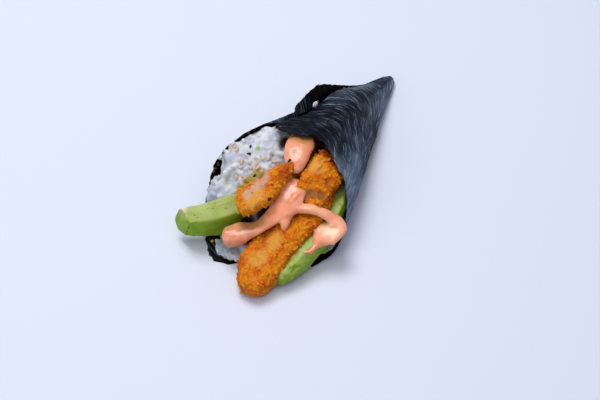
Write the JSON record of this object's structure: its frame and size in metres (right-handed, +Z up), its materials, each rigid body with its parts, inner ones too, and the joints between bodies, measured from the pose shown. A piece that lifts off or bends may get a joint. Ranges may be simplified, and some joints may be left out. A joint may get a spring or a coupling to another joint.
{
  "type": "temaki hand roll",
  "caption": "Hand roll lying on its side: an open cone of nori filled with rice, avocado slices and breaded strips, with a creamy sauce drizzled over the mouth.",
  "frame": {"origin": "middle of the bounding box's footprint, on the surface that the roll lies on", "axes": "+Y runs from the open mouth to the closed tip, +Z is up, and +X is to the right when looking from the mouth to the tip"},
  "size_m": [0.0875, 0.1854, 0.0466],
  "materials": {
    "nori": "dry and crisp with a faint sheen along its fibres",
    "rice": "moist and slightly translucent",
    "breading": "rough golden fried crumb",
    "avocado": "smooth, soft and slightly moist",
    "sauce": "glossy and creamy"
  },
  "bodies": {
    "root": {"nori_sheet": "nori", "rice_bed": "rice", "strip_front": "breading", "strip_left": "breading", "strip_right": "breading", "strip_back": "breading", "avocado_left": "avocado", "avocado_right": "avocado", "sauce_back": "sauce", "sauce_drizzle": "sauce"}
  },
  "joints": []
}
